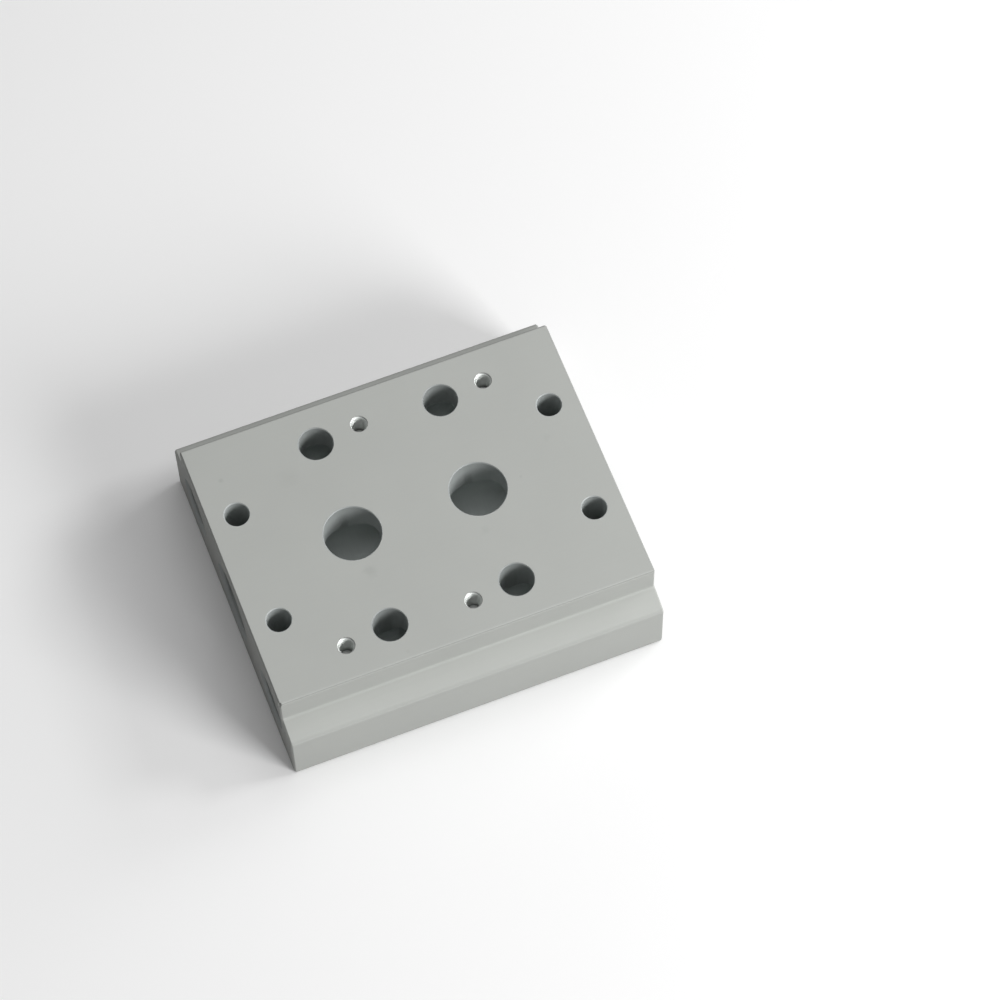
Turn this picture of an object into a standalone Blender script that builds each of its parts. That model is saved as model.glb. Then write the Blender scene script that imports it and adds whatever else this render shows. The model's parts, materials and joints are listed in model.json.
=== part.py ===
"""Two-station base block for 5-port solenoid valves, machined from an extruded aluminium bar.

The bar runs along X and stands on Z = 0. Each station on its top face has one supply hole, two
exhaust holes and two tapped holes for the valve's screws. The vertical holes open into three
galleries that run from end to end, and each gallery ends in a threaded port on both end faces.
"""

import math

import bmesh
import bpy
from mathutils import Matrix, Vector

MM = 0.001

# Bar, as extruded and cut to length
STATION_COUNT = 2
STATION_PITCH = 23.0 * MM
END_MARGIN = 22.5 * MM
BASE_DEPTH = 60.0 * MM
DECK_DEPTH = 51.0 * MM
BLOCK_HEIGHT = 20.0 * MM
DECK_WALL = 6.0 * MM
SHOULDER_FALL = 1.5 * MM
DECK_EDGE_RADIUS = 0.4 * MM
SHOULDER_ROOT_RADIUS = 0.6 * MM
SHOULDER_EDGE_RADIUS = 0.9 * MM
FOOT_EDGE_RADIUS = 0.5 * MM
END_CHAMFER = 0.25 * MM

# Holes of one station, from its centre
SUPPLY_HOLE_DIAMETER = 10.0 * MM
EXHAUST_HOLE_DIAMETER = 6.0 * MM
EXHAUST_HOLE_OFFSET = 18.3 * MM
VALVE_SCREW_ALONG = 8.25 * MM
VALVE_SCREW_ACROSS = 19.2 * MM
RIM_CHAMFER = 0.15 * MM

# M3 tapped holes for the valve screws
SCREW_THREAD_DIAMETER = 3.0 * MM
SCREW_CORE_DIAMETER = 2.5 * MM
SCREW_THREAD_DEPTH = 4.2 * MM
SCREW_DRILL_EXTRA = 0.5 * MM
SCREW_MOUTH_CHAMFER = 0.1 * MM
DRILL_POINT_ANGLE = math.radians(118)

# Through holes that fasten the block down
MOUNTING_HOLE_DIAMETER = 4.3 * MM
MOUNTING_HOLE_FROM_END = 5.25 * MM
MOUNTING_HOLE_ACROSS = 10.6 * MM

# Galleries and their threaded ports: G1/4 for the supply, G1/8 for both exhausts
GALLERY_HEIGHT = 9.5 * MM
SUPPLY_GALLERY_DIAMETER = 11.45 * MM
SUPPLY_THREAD_DIAMETER = 13.16 * MM
SUPPLY_THREAD_DEPTH = 11.0 * MM
SUPPLY_MOUTH_CHAMFER = 0.6 * MM
EXHAUST_GALLERY_OFFSET = 19.5 * MM
EXHAUST_GALLERY_DIAMETER = 8.6 * MM
EXHAUST_THREAD_DIAMETER = 9.73 * MM
EXHAUST_THREAD_DEPTH = 8.5 * MM
EXHAUST_MOUTH_CHAMFER = 0.5 * MM

# Small knock on the deck's corner at the left front
NICK_SIZE = 0.9 * MM

# How finely round forms are faceted
FILLET_STEPS = 5
GALLERY_SIDES = 56
SUPPLY_HOLE_SIDES = 64
EXHAUST_HOLE_SIDES = 48
MOUNTING_HOLE_SIDES = 40
SCREW_HOLE_SIDES = 28

# Cutters stick out of the face that they start from by this much
OVERSHOOT = 1.0 * MM
MERGE_DISTANCE = 0.001 * MM

BLOCK_LENGTH = STATION_PITCH * (STATION_COUNT - 1) + 2 * END_MARGIN


def clear_scene():
    for obj in list(bpy.data.objects):
        bpy.data.objects.remove(obj, do_unlink=True)


def new_collection(name):
    collection = bpy.data.collections.new(name)
    bpy.context.scene.collection.children.link(collection)
    return collection


def anodised_aluminium():
    """Matte natural anodising: pale grey, barely glossy."""
    material = bpy.data.materials.new("anodised_aluminium")
    material.use_nodes = True
    shader = material.node_tree.nodes["Principled BSDF"]
    shader.inputs["Base Color"].default_value = (0.46, 0.475, 0.46, 1.0)
    shader.inputs["Metallic"].default_value = 0.8
    shader.inputs["Roughness"].default_value = 0.5
    return material


def rounded_outline(corners):
    """A closed outline through corners (across, up, radius), each rounded by a tangent arc."""
    outline = []
    for index, (across, up, radius) in enumerate(corners):
        corner = Vector((across, up))
        back = (Vector(corners[index - 1][:2]) - corner).normalized()
        ahead = (Vector(corners[(index + 1) % len(corners)][:2]) - corner).normalized()
        half_angle = back.angle(ahead) / 2
        centre = corner + (back + ahead).normalized() * radius / math.sin(half_angle)
        run_in = corner + back * radius / math.tan(half_angle) - centre
        turn = math.copysign(math.pi - 2 * half_angle, ahead.cross(back))
        for step in range(FILLET_STEPS + 1):
            swing = Matrix.Rotation(turn * step / FILLET_STEPS, 2)
            outline.append(centre + swing @ run_in)
    return outline


def bar_section():
    """Cross-section of the bar: a deck that stands on a wider base with sloping shoulders."""
    shoulder_root = BLOCK_HEIGHT - DECK_WALL
    shoulder_edge = shoulder_root - SHOULDER_FALL
    right_side = [
        (BASE_DEPTH / 2, 0.0, FOOT_EDGE_RADIUS),
        (BASE_DEPTH / 2, shoulder_edge, SHOULDER_EDGE_RADIUS),
        (DECK_DEPTH / 2, shoulder_root, SHOULDER_ROOT_RADIUS),
        (DECK_DEPTH / 2, BLOCK_HEIGHT, DECK_EDGE_RADIUS),
    ]
    left_side = [(-across, up, radius) for across, up, radius in reversed(right_side)]
    return rounded_outline(right_side + left_side)


def extruded_bar(collection, material):
    """The bar itself, lying along X, with its two sawn ends lightly chamfered."""
    curve = bpy.data.curves.new("bar_section", "CURVE")
    curve.dimensions = "2D"
    curve.fill_mode = "BOTH"
    curve.extrude = BLOCK_LENGTH / 2
    section = bar_section()
    spline = curve.splines.new("POLY")
    spline.points.add(len(section) - 1)
    for point, (across, up) in zip(spline.points, section):
        point.co = (across, up, 0.0, 1.0)
    spline.use_cyclic_u = True

    # The section is drawn in Y and Z, and its thickness runs along X.
    guide = bpy.data.objects.new("bar_section", curve)
    collection.objects.link(guide)
    guide.matrix_world = Matrix(((0, 0, 1), (1, 0, 0), (0, 1, 0))).to_4x4()
    bpy.context.view_layer.update()

    evaluated = guide.evaluated_get(bpy.context.evaluated_depsgraph_get())
    mesh = bpy.data.meshes.new_from_object(evaluated)
    mesh.transform(guide.matrix_world)
    bpy.data.objects.remove(guide, do_unlink=True)

    work = bmesh.new()
    work.from_mesh(mesh)
    bmesh.ops.remove_doubles(work, verts=work.verts, dist=MERGE_DISTANCE)
    bmesh.ops.dissolve_limit(
        work, angle_limit=math.radians(1), verts=work.verts, edges=work.edges
    )
    bmesh.ops.recalc_face_normals(work, faces=work.faces)
    widest_fillet = 2 * max(DECK_EDGE_RADIUS, SHOULDER_ROOT_RADIUS, SHOULDER_EDGE_RADIUS, FOOT_EDGE_RADIUS)
    for face in work.faces:
        face.smooth = face.calc_area() < widest_fillet / FILLET_STEPS * BLOCK_LENGTH
    work.to_mesh(mesh)
    work.free()

    mesh.name = "manifold_block"
    mesh.materials.clear()
    mesh.materials.append(material)
    block = bpy.data.objects.new("manifold_block", mesh)
    collection.objects.link(block)

    chamfer = block.modifiers.new("end_chamfer", "BEVEL")
    chamfer.width = END_CHAMFER
    chamfer.segments = 1
    chamfer.limit_method = "ANGLE"
    chamfer.angle_limit = math.radians(60)
    return block


def turned_cutter(name, profile, sides, collection):
    """A tool turned about its own Z axis, from profile points (radius, height), top to bottom."""
    mesh = bpy.data.meshes.new(name)
    points = [(radius, 0.0, height) for radius, height in profile]
    edges = [(index, index + 1) for index in range(len(points) - 1)]
    mesh.from_pydata(points, edges, [])
    tool = bpy.data.objects.new(name, mesh)
    collection.objects.link(tool)
    tool.hide_render = True
    tool.display_type = "WIRE"

    screw = tool.modifiers.new("turn", "SCREW")
    screw.axis = "Z"
    screw.steps = sides
    screw.render_steps = sides
    screw.use_merge_vertices = True
    screw.merge_threshold = MERGE_DISTANCE
    screw.use_smooth_shade = True
    return tool


def cut(block, tool):
    boolean = block.modifiers.new(tool.name, "BOOLEAN")
    boolean.operation = "DIFFERENCE"
    boolean.solver = "EXACT"
    boolean.object = tool


def mouth(radius, chamfer):
    """First points of a hole that starts at height 0 with a 45 degree chamfer round its rim."""
    return [
        (0.0, OVERSHOOT),
        (radius + chamfer + OVERSHOOT, OVERSHOOT),
        (radius, -chamfer),
    ]


def open_hole(radius, depth):
    """A plain hole that ends inside a gallery."""
    return mouth(radius, RIM_CHAMFER) + [(radius, -depth), (0.0, -depth)]


def through_hole(radius, depth):
    """A hole with a chamfered rim on both faces, which lie depth apart."""
    upper = mouth(radius, RIM_CHAMFER)
    lower = [(point_radius, -depth - height) for point_radius, height in reversed(upper)]
    return upper + lower


def tapped_blind_hole():
    """A drilled and tapped hole with a drill point at its foot."""
    thread = SCREW_THREAD_DIAMETER / 2
    core = SCREW_CORE_DIAMETER / 2
    run_out = SCREW_THREAD_DEPTH + thread - core
    drilled = run_out + SCREW_DRILL_EXTRA
    point = drilled + core / math.tan(DRILL_POINT_ANGLE / 2)
    return mouth(thread, SCREW_MOUTH_CHAMFER) + [
        (thread, -SCREW_THREAD_DEPTH),
        (core, -run_out),
        (core, -drilled),
        (0.0, -point),
    ]


def gallery(core_diameter, thread_diameter, thread_depth, chamfer):
    """A drilling from end face to end face, widened and chamfered for a thread at both ends."""
    thread = thread_diameter / 2
    core = core_diameter / 2
    near_end = [
        (radius, height + BLOCK_LENGTH / 2) for radius, height in mouth(thread, chamfer)
    ]
    near_end += [
        (thread, BLOCK_LENGTH / 2 - thread_depth),
        (core, BLOCK_LENGTH / 2 - thread_depth - (thread - core)),
    ]
    far_end = [(radius, -height) for radius, height in reversed(near_end)]
    return near_end + far_end


def cut_galleries(block, cutters):
    supply = gallery(
        SUPPLY_GALLERY_DIAMETER, SUPPLY_THREAD_DIAMETER, SUPPLY_THREAD_DEPTH, SUPPLY_MOUTH_CHAMFER
    )
    exhaust = gallery(
        EXHAUST_GALLERY_DIAMETER, EXHAUST_THREAD_DIAMETER, EXHAUST_THREAD_DEPTH, EXHAUST_MOUTH_CHAMFER
    )
    layout = [
        ("supply_gallery", supply, 0.0),
        ("exhaust_gallery_front", exhaust, -EXHAUST_GALLERY_OFFSET),
        ("exhaust_gallery_back", exhaust, EXHAUST_GALLERY_OFFSET),
    ]
    for name, profile, across in layout:
        tool = turned_cutter(name, profile, GALLERY_SIDES, cutters)
        tool.location = (0.0, across, GALLERY_HEIGHT)
        tool.rotation_euler = (0.0, math.pi / 2, 0.0)
        cut(block, tool)


def cut_station(block, cutters, number, centre):
    """Everything that one valve needs on the deck, around its centre along X."""
    depth = BLOCK_HEIGHT - GALLERY_HEIGHT
    supply = open_hole(SUPPLY_HOLE_DIAMETER / 2, depth)
    exhaust = open_hole(EXHAUST_HOLE_DIAMETER / 2, depth)
    screw = tapped_blind_hole()
    layout = [
        ("supply_hole", supply, SUPPLY_HOLE_SIDES, 0.0, 0.0),
        ("exhaust_hole_front", exhaust, EXHAUST_HOLE_SIDES, 0.0, -EXHAUST_HOLE_OFFSET),
        ("exhaust_hole_back", exhaust, EXHAUST_HOLE_SIDES, 0.0, EXHAUST_HOLE_OFFSET),
        ("screw_hole_front", screw, SCREW_HOLE_SIDES, -VALVE_SCREW_ALONG, -VALVE_SCREW_ACROSS),
        ("screw_hole_back", screw, SCREW_HOLE_SIDES, VALVE_SCREW_ALONG, VALVE_SCREW_ACROSS),
    ]
    for name, profile, sides, along, across in layout:
        tool = turned_cutter(f"{name}_{number}", profile, sides, cutters)
        tool.location = (centre + along, across, BLOCK_HEIGHT)
        cut(block, tool)


def cut_mounting_holes(block, cutters):
    profile = through_hole(MOUNTING_HOLE_DIAMETER / 2, BLOCK_HEIGHT)
    along = BLOCK_LENGTH / 2 - MOUNTING_HOLE_FROM_END
    for end, x in (("left", -along), ("right", along)):
        for side, y in (("front", -MOUNTING_HOLE_ACROSS), ("back", MOUNTING_HOLE_ACROSS)):
            tool = turned_cutter(f"mounting_hole_{end}_{side}", profile, MOUNTING_HOLE_SIDES, cutters)
            tool.location = (x, y, BLOCK_HEIGHT)
            cut(block, tool)


def cut_nick(block, cutters):
    """The knock takes a small flake off the deck's corner."""
    work = bmesh.new()
    bmesh.ops.create_cube(work, size=NICK_SIZE)
    mesh = bpy.data.meshes.new("corner_nick")
    work.to_mesh(mesh)
    work.free()
    tool = bpy.data.objects.new("corner_nick", mesh)
    cutters.objects.link(tool)
    tool.hide_render = True
    tool.display_type = "WIRE"
    tool.location = (-BLOCK_LENGTH / 2, -DECK_DEPTH / 2, BLOCK_HEIGHT)
    tool.rotation_euler = (math.radians(40), math.radians(35), math.radians(20))
    cut(block, tool)


def build():
    clear_scene()
    parts = new_collection("valve_manifold")
    cutters = new_collection("cutters")
    block = extruded_bar(parts, anodised_aluminium())
    cut_galleries(block, cutters)
    for number in range(1, STATION_COUNT + 1):
        from_middle = number - (STATION_COUNT + 1) / 2
        cut_station(block, cutters, number, from_middle * STATION_PITCH)
    cut_mounting_holes(block, cutters)
    cut_nick(block, cutters)


build()
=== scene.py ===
"""Looks of the two-station valve manifold block: anodised faces, drilled holes and cut threads.

Lengths are in metres, in the frame of the CAD model: X runs along the block, Y across it, and Z
up from its underside.
"""

import json
import math
from types import SimpleNamespace

import bmesh
import bpy
from mathutils import Matrix, Vector

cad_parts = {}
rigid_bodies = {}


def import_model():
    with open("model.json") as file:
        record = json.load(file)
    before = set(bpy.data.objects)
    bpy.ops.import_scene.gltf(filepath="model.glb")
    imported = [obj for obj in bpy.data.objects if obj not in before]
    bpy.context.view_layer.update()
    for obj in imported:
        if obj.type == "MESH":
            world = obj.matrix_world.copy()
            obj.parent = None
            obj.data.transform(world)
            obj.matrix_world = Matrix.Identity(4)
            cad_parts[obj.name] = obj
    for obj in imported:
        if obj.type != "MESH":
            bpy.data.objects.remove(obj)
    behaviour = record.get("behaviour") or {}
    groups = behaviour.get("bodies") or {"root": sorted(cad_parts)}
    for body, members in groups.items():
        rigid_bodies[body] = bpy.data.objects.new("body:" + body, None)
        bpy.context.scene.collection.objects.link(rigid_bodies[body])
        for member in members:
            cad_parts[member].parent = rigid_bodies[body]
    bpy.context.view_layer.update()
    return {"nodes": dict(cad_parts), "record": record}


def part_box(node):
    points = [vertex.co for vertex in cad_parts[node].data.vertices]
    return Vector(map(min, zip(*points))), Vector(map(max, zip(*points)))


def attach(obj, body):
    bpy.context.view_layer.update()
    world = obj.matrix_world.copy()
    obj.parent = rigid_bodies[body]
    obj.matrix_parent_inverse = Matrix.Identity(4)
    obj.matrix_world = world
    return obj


MM = 0.001

# The block's own forms, as the CAD model has them
DECK_HALF_DEPTH = 25.5 * MM
SHOULDER_DEPTH = 4.5 * MM
SHOULDER_FALL = 1.5 * MM

# Holes on the deck: radii, and places from the block's centre, or for SCREW_HOLE_ALONG from a
# station's centre
SUPPLY_HOLE_RADIUS = 5.0 * MM
EXHAUST_HOLE_RADIUS = 3.0 * MM
MOUNTING_HOLE_RADIUS = 2.15 * MM
MOUNTING_HOLE_ALONG = 28.75 * MM
MOUNTING_HOLE_ACROSS = 10.6 * MM
SCREW_HOLE_ALONG = 8.25 * MM
SCREW_HOLE_ACROSS = 19.2 * MM
RIM_CHAMFER = 0.15 * MM

# Threads: outer and core radius, pitch, depth of full thread, chamfer at the mouth, sides of a turn
SUPPLY_THREAD = {
    "outer": 6.58 * MM,
    "core": 5.725 * MM,
    "pitch": 1.337 * MM,
    "depth": 11.0 * MM,
    "chamfer": 0.6 * MM,
    "sides": 64,
}
EXHAUST_THREAD = {
    "outer": 4.865 * MM,
    "core": 4.3 * MM,
    "pitch": 0.907 * MM,
    "depth": 8.5 * MM,
    "chamfer": 0.5 * MM,
    "sides": 64,
}
SCREW_THREAD = {
    "outer": 1.5 * MM,
    "core": 1.25 * MM,
    "pitch": 0.5 * MM,
    "depth": 4.2 * MM,
    "chamfer": 0.1 * MM,
    "sides": 40,
}

# The ridge between two turns: its root's and crest's share of the pitch, how far it sinks into the
# wall, and the angle from which an edge on it is a true one
THREAD_ROOT_SHARE = 7 / 8
THREAD_CREST_SHARE = 1 / 4
THREAD_SEAT = 0.02 * MM
THREAD_SHARP_ANGLE = math.radians(35)

# How the block's surfaces are told apart by place: margins round the holes and below the deck, how
# far a port's start is blended, and where on each side the supply holes' zone ends
HOLE_MARGIN = 0.02 * MM
SCREW_HOLE_MARGIN = 0.03 * MM
DECK_MARGIN = 0.1 * MM
DECK_EDGE_HEIGHT = 1.0 * MM
CORNER_REACH = 0.5 * MM
PORT_BLEND = 1.0 * MM
SUPPLY_ZONE_INNER = 8.0 * MM
SUPPLY_ZONE_OUTER = 9.0 * MM

# How they are told apart by the way they face: one part of a normal whose length is 1, or, for an
# edge, how much its largest part falls short of 1
SQUARE_FACE = 0.95
SLOPING_FACE = 0.3
WALL_FACE = 0.5
EDGE_STARTS = 0.06
EDGE_FULL = 0.2

# How the mesh is shaded: what counts as one point, a true edge, and a flat face
WELD_DISTANCE = 0.002 * MM
SHARP_EDGE_ANGLE = math.radians(30)
FLAT_FACE = 0.9999
SHOULDER_TOLERANCE = 0.0005

# Colours: plain oxide, the oxide in the holes with a painted blue tint of bounced light, raw metal,
# and metal that a tap cut, painted darker in the ports and lighter in the screw holes
OXIDE = (0.458, 0.470, 0.449, 1.0)
HOLE_OXIDE_BLUE_BOUNCE = (0.445, 0.470, 0.463, 1.0)
RAW_METAL = (0.50, 0.51, 0.50, 1.0)
# The same cut metal, painted darker in the ports and lighter in the screw holes, for their highlights
PORT_THREADS_PAINTED_DARKER = (0.40, 0.415, 0.405)
SCREW_THREADS_PAINTED_LIGHTER = (0.78, 0.81, 0.785)

# Centre of the saw's arcs, in the plane of each end face
SAW_ACROSS = 40.0 * MM
SAW_UP = -95.0 * MM

# Faint marks of handling on the deck: place along and across, radius, and how much darker
DECK_MARKS = (
    (-11.1 * MM, -7.8 * MM, 1.3 * MM, 0.075),
    (9.8 * MM, -7.8 * MM, 0.9 * MM, 0.04),
    (-29.2 * MM, 17.7 * MM, 0.5 * MM, 0.10),
    (19.2 * MM, -0.5 * MM, 0.4 * MM, 0.07),
    (26.0 * MM, 4.9 * MM, 0.9 * MM, 0.03),
    (-10.4 * MM, -24.0 * MM, 0.5 * MM, 0.05),
    (-18.1 * MM, 13.8 * MM, 2.2 * MM, 0.025),
)

# Camera, fitted to the photograph
SENSOR_WIDTH_MM = 36.0
LENS_MM = 151.2
NEAREST_SEEN = 10.0 * MM
AIM_ON_DECK = (14.25 * MM, -3.35 * MM)
CAMERA_DISTANCE = 720.6 * MM
CAMERA_AZIMUTH = math.radians(-19.82)
CAMERA_ELEVATION = math.radians(64.67)
CAMERA_ROLL = math.radians(-1.48)

# Floor: nearly white to look at, and greyer to light that bounces off it
FLOOR_HALF = 3.0
FLOOR_SEEN = (0.92, 0.92, 0.92, 1.0)
FLOOR_BOUNCE = (0.38, 0.38, 0.38, 1.0)

# Even light from all round
SURROUND_COLOUR = (1.0, 1.0, 1.0, 1.0)
SURROUND_STRENGTH = 0.18


def clear_startup_scene():
    for obj in list(bpy.data.objects):
        bpy.data.objects.remove(obj, do_unlink=True)


clear_startup_scene()
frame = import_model()
BLOCK_LOW, BLOCK_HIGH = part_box("manifold_block")
OPENINGS = {row["name"]: row["box_m"] for row in frame["record"]["physics"]["openings"]}


def opening_middle(name):
    """Middle of one of the block's stated openings."""
    low, high = OPENINGS[name]
    return (Vector(low) + Vector(high)) / 2


STATION_ALONG = opening_middle("supply_hole_2").x
EXHAUST_HOLE_ACROSS = opening_middle("exhaust_hole_back_2").y
GALLERY_HEIGHT = opening_middle("supply_gallery").z
EXHAUST_GALLERY_ACROSS = opening_middle("exhaust_gallery_back").y
PORT_START = BLOCK_HIGH.x - SUPPLY_THREAD["depth"]


class Value:
    """One output in a node tree, so that sums on it read as sums. Each operator adds a Math node."""

    def __init__(self, tree, socket):
        self.tree = tree
        self.socket = socket

    def math(self, operation, *operands):
        node = self.tree.nodes.new("ShaderNodeMath")
        node.operation = operation
        for slot, operand in zip(node.inputs, operands):
            feed(self.tree, slot, operand)
        return Value(self.tree, node.outputs[0])

    def __add__(self, other):
        return self.math("ADD", self, other)

    def __radd__(self, other):
        return self.math("ADD", other, self)

    def __sub__(self, other):
        return self.math("SUBTRACT", self, other)

    def __rsub__(self, other):
        return self.math("SUBTRACT", other, self)

    def __mul__(self, other):
        return self.math("MULTIPLY", self, other)

    def __rmul__(self, other):
        return self.math("MULTIPLY", other, self)

    def __abs__(self):
        return self.math("ABSOLUTE", self)

    def __lt__(self, other):
        return self.math("LESS_THAN", self, other)

    def __gt__(self, other):
        return self.math("GREATER_THAN", self, other)

    def least(self, other):
        return self.math("MINIMUM", self, other)

    def most(self, other):
        return self.math("MAXIMUM", self, other)

    def sign(self):
        return self.math("SIGN", self)

    def root(self):
        return self.math("POWER", self, 0.5)

    def reach(self, other):
        """Length of the right-angled step made of this value and another."""
        return (self * self + other * other).root()


def feed(tree, slot, source):
    """Links a value to a socket, or sets the socket to a number, colour or vector."""
    if isinstance(source, Value):
        tree.links.new(source.socket, slot)
    else:
        slot.default_value = source


def add_node(tree, kind, settings=None, sockets=None):
    """Adds a node: its settings first, then the values or links of its sockets."""
    node = tree.nodes.new(kind)
    for setting, value in (settings or {}).items():
        setattr(node, setting, value)
    for slot, source in (sockets or {}).items():
        feed(tree, node.inputs[slot], source)
    return node


def split_vector(tree, vector):
    """The x, y and z of a vector value."""
    node = add_node(tree, "ShaderNodeSeparateXYZ", sockets={"Vector": vector})
    return [Value(tree, output) for output in node.outputs]


class Finish:
    """A material whose node tree is written as expressions."""

    def __init__(self, name, constants):
        self.material = bpy.data.materials.new(name)
        self.material.use_nodes = True
        self.tree = self.material.node_tree
        self.shader = self.tree.nodes["Principled BSDF"]
        for socket_name, value in constants.items():
            self.shader.inputs[socket_name].default_value = value
        place = add_node(self.tree, "ShaderNodeTexCoord")
        self.place = Value(self.tree, place.outputs["Object"])
        self.x, self.y, self.z = self.split(self.place)
        self.normal = Value(self.tree, place.outputs["Normal"])

    def value(self, kind, settings=None, sockets=None, output=0):
        """One output of a new node."""
        return Value(self.tree, add_node(self.tree, kind, settings, sockets).outputs[output])

    def split(self, vector):
        return split_vector(self.tree, vector)

    def vector(self, x, y, z):
        return self.value("ShaderNodeCombineXYZ", sockets={"X": x, "Y": y, "Z": z})

    def noise(self, vector, scale, detail=2.0, roughness=0.5):
        """Soft noise from 0 to 1, with features about 1 / scale metres wide."""
        sockets = {"Vector": vector, "Scale": scale, "Detail": detail, "Roughness": roughness}
        return self.value("ShaderNodeTexNoise", sockets=sockets)

    def rise(self, value, low, high):
        """0 below low, 1 above high, and a smooth slope between them."""
        settings = {"interpolation_type": "SMOOTHSTEP"}
        sockets = {"Value": value, "From Min": low, "From Max": high}
        return self.value("ShaderNodeMapRange", settings, sockets)

    def blend_colours(self, share, colour, other):
        settings = {"data_type": "RGBA"}
        sockets = {0: share, 6: colour, 7: other}
        return self.value("ShaderNodeMix", settings, sockets, output=2)

    def tint(self, colour, gain):
        """A colour made lighter or darker by a value near 1."""
        sockets = {0: colour, 3: gain}
        return self.value("ShaderNodeVectorMath", {"operation": "SCALE"}, sockets)

    def bump(self, height, depth):
        """A normal that is bent as if the surface rose by depth where height is 1."""
        sockets = {"Height": height, "Distance": depth, "Strength": 1.0}
        return self.value("ShaderNodeBump", sockets=sockets)

    def set(self, socket_name, source):
        feed(self.tree, self.shader.inputs[socket_name], source)


def drilled_walls(finish, in_port):
    """How far each point lies outside the nearest upright hole, and the nearest level gallery.

    in_port is 0 in the galleries and 1 in the wider ports at their ends.
    """
    along, across = abs(finish.x), abs(finish.y)
    margin = RIM_CHAMFER + HOLE_MARGIN
    supply = (along - STATION_ALONG).reach(finish.y) - (SUPPLY_HOLE_RADIUS + margin)
    exhaust = (along - STATION_ALONG).reach(across - EXHAUST_HOLE_ACROSS)
    exhaust = exhaust - (EXHAUST_HOLE_RADIUS + margin)
    mounting = (along - MOUNTING_HOLE_ALONG).reach(across - MOUNTING_HOLE_ACROSS)
    mounting = mounting - (MOUNTING_HOLE_RADIUS + margin)
    upright = supply.least(exhaust).least(mounting)

    height = finish.z - GALLERY_HEIGHT
    supply_radius, exhaust_radius = (
        in_port * (thread["outer"] + thread["chamfer"] - thread["core"]) + (thread["core"] + HOLE_MARGIN)
        for thread in (SUPPLY_THREAD, EXHAUST_THREAD)
    )
    supply_gallery = finish.y.reach(height) - supply_radius
    exhaust_gallery = (across - EXHAUST_GALLERY_ACROSS).reach(height) - exhaust_radius
    level = supply_gallery.least(exhaust_gallery)
    return upright, level


def tapped_walls(finish):
    """How far each point lies outside the nearest screw hole; negative inside one."""
    turned = finish.x * finish.y.sign()
    across = abs(finish.y) - SCREW_HOLE_ACROSS
    near = (turned - (STATION_ALONG + SCREW_HOLE_ALONG)).reach(across)
    far = (turned - (SCREW_HOLE_ALONG - STATION_ALONG)).reach(across)
    return near.least(far) - (SCREW_THREAD["outer"] + SCREW_HOLE_MARGIN)


def block_zones(finish):
    """The block's surfaces, each as a value that goes from 0 off it to 1 on it."""
    normal_x, normal_y, normal_z = finish.split(finish.normal)
    in_port = finish.rise(abs(finish.x), PORT_START - PORT_BLEND, PORT_START)
    upright, level = drilled_walls(finish, in_port)
    drilled = upright.least(level) < 0.0
    on_level = level < 0.0
    tapped = tapped_walls(finish) < 0.0

    below_deck = finish.z < BLOCK_HIGH.z - DECK_EDGE_HEIGHT
    in_corner = below_deck * (abs(finish.y) < DECK_HALF_DEPTH + CORNER_REACH)
    squareness = abs(normal_x).most(abs(normal_y)).most(abs(normal_z))
    rounded = finish.rise(1.0 - squareness, EDGE_STARTS, EDGE_FULL)
    return SimpleNamespace(
        in_port=in_port,
        drilled=drilled,
        on_level=on_level,
        on_upright=drilled * (1.0 - on_level),
        deep=on_level * (1.0 - in_port),
        beside_supply=finish.rise(abs(finish.y), SUPPLY_ZONE_INNER, SUPPLY_ZONE_OUTER),
        tapped=tapped,
        tapped_wall=tapped * (normal_z < WALL_FACE),
        sawn=(abs(normal_x) > SQUARE_FACE) * (1.0 - drilled),
        below_deck=below_deck,
        rounded=rounded * (1.0 - drilled) * (1.0 - in_corner),
        rim=drilled * (1.0 - below_deck) * (normal_z > SLOPING_FACE) * (normal_z < SQUARE_FACE),
    )


def die_lines(finish):
    """Faint lines that the die drew along the extrusion."""
    stretch = 0.025
    drawn_out = finish.vector(finish.x * stretch, finish.y, finish.z)
    return finish.noise(drawn_out, scale=2200.0, detail=3.0, roughness=0.6)


def drill_rings(finish, on_level):
    """Rings that the drills left, along each hole's own axis."""
    x, y, z = finish.x, finish.y, finish.z
    squeeze = 0.05
    upright_rings = finish.noise(finish.vector(x * squeeze, y * squeeze, z), scale=4200.0)
    level_rings = finish.noise(finish.vector(x, y * squeeze, z * squeeze), scale=4200.0)
    return upright_rings * (1.0 - on_level) + level_rings * on_level


def saw_arcs(finish):
    """Arcs of the saw across both ends."""
    wobble = finish.noise(finish.place, scale=400.0) * (0.6 * MM)
    reach = (finish.y - SAW_ACROSS).reach(finish.z - SAW_UP) + wobble
    return finish.noise(finish.vector(reach, 0.0, 0.0), scale=3200.0, detail=3.0)


def deck_marks(finish):
    """How much darker the deck's handling marks make each point."""
    on_deck = finish.z > BLOCK_HIGH.z - DECK_MARGIN
    wander = (finish.noise(finish.place, scale=900.0, detail=3.0) - 0.5) * 1.4
    fades_from, fades_to = 0.2, 1.2
    marks = 0.0
    for along, across, radius, darkness in DECK_MARKS:
        reach = (finish.x - along).reach(finish.y - across) * (1.0 / radius) + wander
        marks = (1.0 - finish.rise(reach, fades_from, fades_to)) * darkness + marks
    return marks * on_deck


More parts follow.
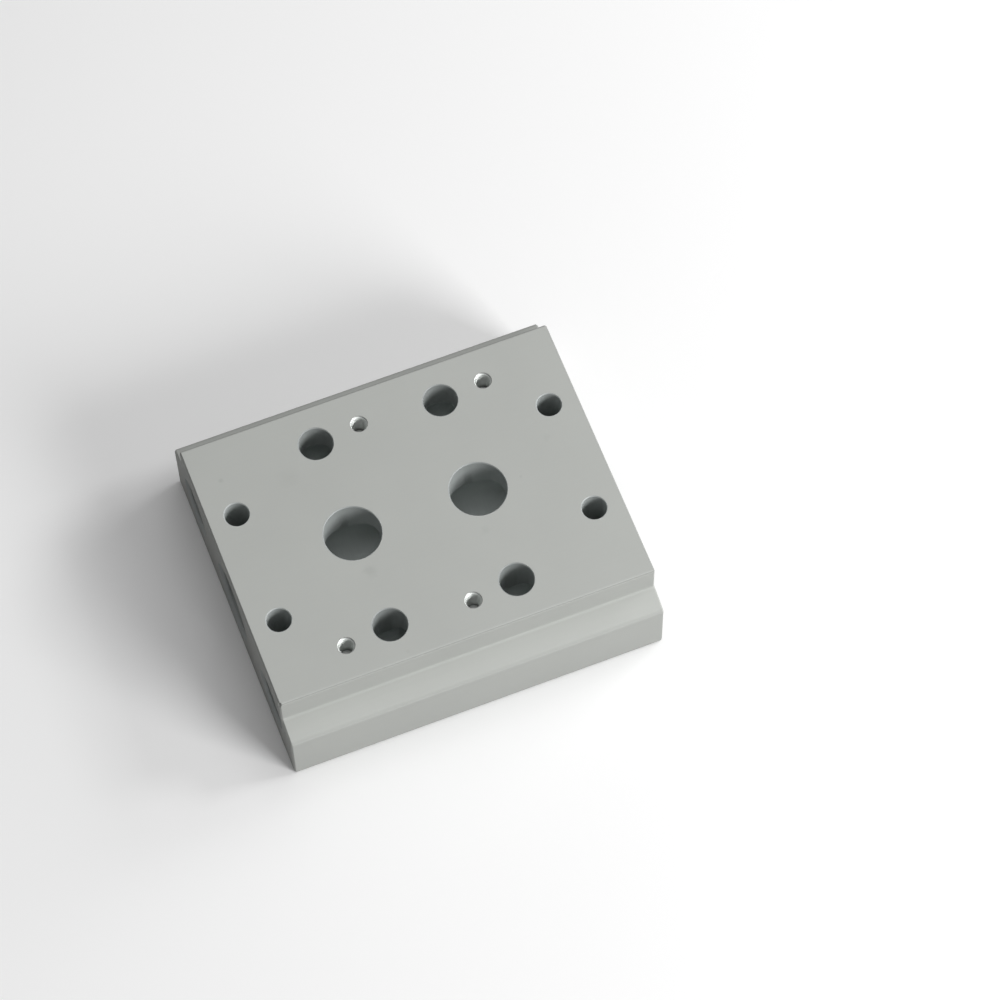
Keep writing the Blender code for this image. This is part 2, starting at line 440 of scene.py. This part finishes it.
def anodised_block():
    """Matte natural anodising, glossier in the holes, with raw metal in the screw holes.

    Light and shade are partly painted into its colour: in the holes, on the ends and along the edges.
    """
    finish = Finish("anodised_aluminium", {"Specular IOR Level": 0.35})
    zones = block_zones(finish)
    grain = finish.noise(finish.place, scale=3500.0, detail=3.0)
    cloud = finish.noise(finish.place, scale=55.0, detail=4.0, roughness=0.6)
    lines = die_lines(finish)
    rings = drill_rings(finish, zones.on_level)
    arcs = saw_arcs(finish)

    plain = (1.0 - zones.drilled) * (1.0 - zones.sawn)
    height = grain * 0.35 + plain * lines * 0.5 + zones.drilled * rings * 1.6 + zones.sawn * arcs * 1.4
    finish.set("Normal", finish.bump(height, 0.012 * MM))

    # How much lighter or darker than its plain colour each place is: random tone, the die's lines, drill
    # rings and handling marks, and painted light and shade in the holes, on the ends and along the edges
    gain = 1.0 + (grain - 0.5) * 0.05 + (cloud - 0.5) * 0.10 + plain * (lines - 0.5) * 0.02
    # Both end faces painted darker, as painted shade, over the saw's real arcs
    gain = gain + zones.sawn * ((arcs - 0.5) * 0.16 - 0.26)
    # Painted light and shade on upright hole walls: lighter, darker beside the supply holes, lighter
    # near the ends
    gain = gain + zones.on_upright * (0.06 - zones.beside_supply * 0.08 + zones.in_port * 0.2)
    # Painted light in the level galleries, and painted shade in the port bores at their ends
    gain = gain + zones.on_level * (0.16 - zones.in_port * 0.28)
    # More painted light deep in the galleries, most in the exhaust galleries
    gain = gain + zones.deep * (0.12 + zones.beside_supply * 0.18)
    gain = gain + zones.drilled * (rings - 0.5) * 0.12
    # Painted shade on edge radii and hole rims, dulling their highlights; less on the lower edges
    gain = gain - zones.rounded * (0.28 - zones.below_deck * 0.18) - zones.rim * 0.22
    gain = gain - deck_marks(finish)
    # Painted light on the screw holes' bottoms, and painted shade on their walls between the threads
    gain = gain + zones.tapped * 0.35 - zones.tapped_wall * 0.65

    # In the holes the oxide takes a painted blue tint of bounced light
    colour = finish.blend_colours(zones.drilled, OXIDE, HOLE_OXIDE_BLUE_BOUNCE)
    colour = finish.blend_colours(zones.tapped, colour, RAW_METAL)
    finish.set("Base Color", finish.tint(colour, gain))
    finish.set("Metallic", 0.22 + zones.drilled * 0.18)
    roughness = 0.72 + (cloud - 0.5) * 0.12 + (grain - 0.5) * 0.08
    roughness = roughness - zones.drilled * 0.32 - zones.sawn * 0.08 - zones.tapped * 0.44
    finish.set("Roughness", roughness + (zones.rim + zones.on_level) * 0.30)
    return finish.material


def cut_thread_metal(name, colour):
    """Raw aluminium where a tap cut through the anodising, with a soft gloss."""
    finish = Finish(name, {"Metallic": 1.0})
    tearing = finish.noise(finish.place, scale=5200.0, detail=3.0, roughness=0.65)
    finish.set("Base Color", finish.tint(colour, 0.90 + tearing * 0.16))
    finish.set("Roughness", 0.48 + tearing * 0.10)
    finish.set("Normal", finish.bump(tearing, 0.002 * MM))
    return finish.material


def smooth_round_walls(node):
    """Bores and edge radii shade smooth, while flat faces and true edges stay crisp."""
    group = bpy.data.node_groups.new("smooth_round_walls", "GeometryNodeTree")
    group.interface.new_socket("Geometry", in_out="INPUT", socket_type="NodeSocketGeometry")
    group.interface.new_socket("Geometry", in_out="OUTPUT", socket_type="NodeSocketGeometry")

    # A face is flat if it faces along an axis or square to a shoulder.
    facing = add_node(group, "GeometryNodeInputNormal").outputs["True Normal"]
    x, y, z = split_vector(group, Value(group, facing))
    along_axis = abs(x).most(abs(y)).most(abs(z))
    shoulder_lean = math.cos(math.atan2(SHOULDER_FALL, SHOULDER_DEPTH))
    off_shoulder = abs(z - shoulder_lean) + abs(x)
    flat = (along_axis > FLAT_FACE).most(off_shoulder < SHOULDER_TOLERANCE)
    edge_angle = add_node(group, "GeometryNodeInputMeshEdgeAngle").outputs["Unsigned Angle"]

    source = Value(group, add_node(group, "NodeGroupInput").outputs[0])
    sockets = {"Geometry": source, "Distance": WELD_DISTANCE}
    welded = Value(group, add_node(group, "GeometryNodeMergeByDistance", sockets=sockets).outputs[0])
    sockets = {
        "Mesh": welded,
        "Remove Custom": True,
        "Edge Sharpness": Value(group, edge_angle) > SHARP_EDGE_ANGLE,
        "Face Sharpness": flat,
    }
    shaded = add_node(group, "GeometryNodeSetMeshNormal", {"mode": "SHARPNESS"}, sockets).outputs[0]
    add_node(group, "NodeGroupOutput", sockets={0: Value(group, shaded)})

    modifier = node.modifiers.new("smooth_round_walls", "NODES")
    modifier.node_group = group


def add_object(name, data):
    """A new object in the scene, for a mesh, a lamp or a camera."""
    added = bpy.data.objects.new(name, data)
    bpy.context.scene.collection.objects.link(added)
    return added


def mesh_from(name, work, material):
    """The mesh that some bmesh work ends in, in one material."""
    mesh = bpy.data.meshes.new(name)
    work.to_mesh(mesh)
    work.free()
    mesh.materials.append(material)
    return mesh


def thread_ridge(name, mouth, inward, thread, material):
    """The ridge between the turns of a tapped thread, as one helix from the mouth to the run-out.

    mouth is the hole's centre in the block's face, and inward is the direction of its axis.
    """
    outer, core, pitch, chamfer = (thread[key] for key in ("outer", "core", "pitch", "chamfer"))
    half_root = THREAD_ROOT_SHARE * pitch / 2
    half_crest = THREAD_CREST_SHARE * pitch / 2
    seat = outer + THREAD_SEAT
    profile = ((-half_root, seat), (-half_crest, core), (half_crest, core), (half_root, seat))
    first = chamfer + half_root
    last = thread["depth"] + outer - core - half_root
    steps = round((last - first) / pitch * thread["sides"])
    to_world = inward.to_track_quat("Z", "Y").to_matrix()

    work = bmesh.new()
    previous = None
    for step in range(steps + 1):
        middle = first + (last - first) * step / steps
        turn = math.tau * (middle - first) / pitch
        ring = []
        for offset, radius in profile:
            depth = middle + offset
            lead_in = outer + chamfer - depth
            radius = min(max(radius, lead_in), seat)
            point = Vector((radius * math.cos(turn), radius * math.sin(turn), depth))
            ring.append(work.verts.new(mouth + to_world @ point))
        if previous:
            for corner in range(len(ring)):
                after = (corner + 1) % len(ring)
                work.faces.new((previous[corner], previous[after], ring[after], ring[corner]))
        else:
            work.faces.new(ring)
        previous = ring
    work.faces.new(previous)
    bmesh.ops.recalc_face_normals(work, faces=work.faces)

    mesh = mesh_from(name, work, material)
    mesh.shade_smooth()
    mesh.set_sharp_from_angle(angle=THREAD_SHARP_ANGLE)
    piece = add_object(name, mesh)
    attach(piece, "root")


def cut_threads():
    """Threads in the six ports of the end faces, and brighter ones in the deck's four screw holes.

    The screw holes' metal is painted lighter, for a stronger highlight, and the ports' darker, to hold
    their highlights down.
    """
    # Port thread metal painted darker, screw thread metal painted lighter for a stronger highlight
    port_metal = cut_thread_metal("cut_ports", PORT_THREADS_PAINTED_DARKER)
    screw_metal = cut_thread_metal("cut_screw_holes", SCREW_THREADS_PAINTED_LIGHTER)
    for end, face, inward in (("left", BLOCK_LOW.x, 1), ("right", BLOCK_HIGH.x, -1)):
        for port, across, thread in (
            ("supply", 0.0, SUPPLY_THREAD),
            ("exhaust_front", -EXHAUST_GALLERY_ACROSS, EXHAUST_THREAD),
            ("exhaust_back", EXHAUST_GALLERY_ACROSS, EXHAUST_THREAD),
        ):
            name = f"{port}_thread_{end}"
            mouth = Vector((face, across, GALLERY_HEIGHT))
            thread_ridge(name, mouth, Vector((inward, 0, 0)), thread, port_metal)
    for number, station in ((1, -STATION_ALONG), (2, STATION_ALONG)):
        for side, direction in (("front", -1), ("back", 1)):
            name = f"screw_thread_{side}_{number}"
            along = station + direction * SCREW_HOLE_ALONG
            mouth = Vector((along, direction * SCREW_HOLE_ACROSS, BLOCK_HIGH.z))
            thread_ridge(name, mouth, Vector((0, 0, -1)), SCREW_THREAD, screw_metal)


def floor():
    """Plain pale floor that the block stands on."""
    finish = Finish("pale_floor", {"Roughness": 0.9, "Specular IOR Level": 0.1})
    ray = add_node(finish.tree, "ShaderNodeLightPath")
    seen = Value(finish.tree, ray.outputs["Is Camera Ray"])
    for kind in ("Is Glossy Ray", "Is Transmission Ray"):
        seen = seen.most(Value(finish.tree, ray.outputs[kind]))
    finish.set("Base Color", finish.blend_colours(seen, FLOOR_BOUNCE, FLOOR_SEEN))

    work = bmesh.new()
    bmesh.ops.create_grid(work, x_segments=1, y_segments=1, size=FLOOR_HALF)
    plane = add_object("floor", mesh_from("floor", work, finish.material))


def area_light(name, direction, distance, size, power):
    """A soft square lamp that looks at the block from a direction; power is in watts."""
    lamp = bpy.data.lights.new(name, "AREA")
    lamp.shape = "SQUARE"
    lamp.size = size
    lamp.energy = power
    holder = add_object(name, lamp)
    away = Vector(direction).normalized()
    holder.location = Vector((0, 0, BLOCK_HIGH.z)) + away * distance
    holder.rotation_euler = away.to_track_quat("Z", "Y").to_euler()


def studio():
    """A low key from the front, lamps close on the right, and a broad soft one overhead.

    The glint lamp is small, so that it shows as a spark in the screw threads and little elsewhere.
    """
    area_light("key", direction=(0.50, -0.76, 0.42), distance=0.8, size=0.34, power=5.15)
    area_light("side", direction=(0.88, 0.24, 0.42), distance=0.55, size=0.2, power=0.78)
    area_light("glint", direction=(0.80, -0.10, 0.59), distance=0.7, size=0.16, power=1.05)
    area_light("overhead", direction=(0.12, 0.05, 1.0), distance=1.4, size=1.2, power=6.2)
    world = bpy.data.worlds.new("surround")
    bpy.context.scene.world = world
    world.use_nodes = True
    background = world.node_tree.nodes["Background"]
    background.inputs["Color"].default_value = SURROUND_COLOUR
    background.inputs["Strength"].default_value = SURROUND_STRENGTH


def camera():
    """The camera, looking at the block as the photograph does."""
    data = bpy.data.cameras.new("camera")
    data.sensor_width = SENSOR_WIDTH_MM
    data.lens = LENS_MM
    data.clip_start = NEAREST_SEEN
    holder = add_object("camera", data)
    away = Vector((
        math.sin(CAMERA_AZIMUTH) * math.cos(CAMERA_ELEVATION),
        -math.cos(CAMERA_AZIMUTH) * math.cos(CAMERA_ELEVATION),
        math.sin(CAMERA_ELEVATION),
    ))
    level = away.to_track_quat("Z", "Y").to_matrix()
    rolled = level @ Matrix.Rotation(CAMERA_ROLL, 3, "Z")
    stand = Vector((*AIM_ON_DECK, BLOCK_HIGH.z)) + away * CAMERA_DISTANCE
    holder.matrix_world = Matrix.Translation(stand) @ rolled.to_4x4()
    bpy.context.scene.camera = holder


block = frame["nodes"]["manifold_block"]
block.material_slots[0].material = anodised_block()
smooth_round_walls(block)
cut_threads()
floor()
studio()
camera()
bpy.context.scene.view_settings.view_transform = "Standard"

bpy.context.view_layer.update()
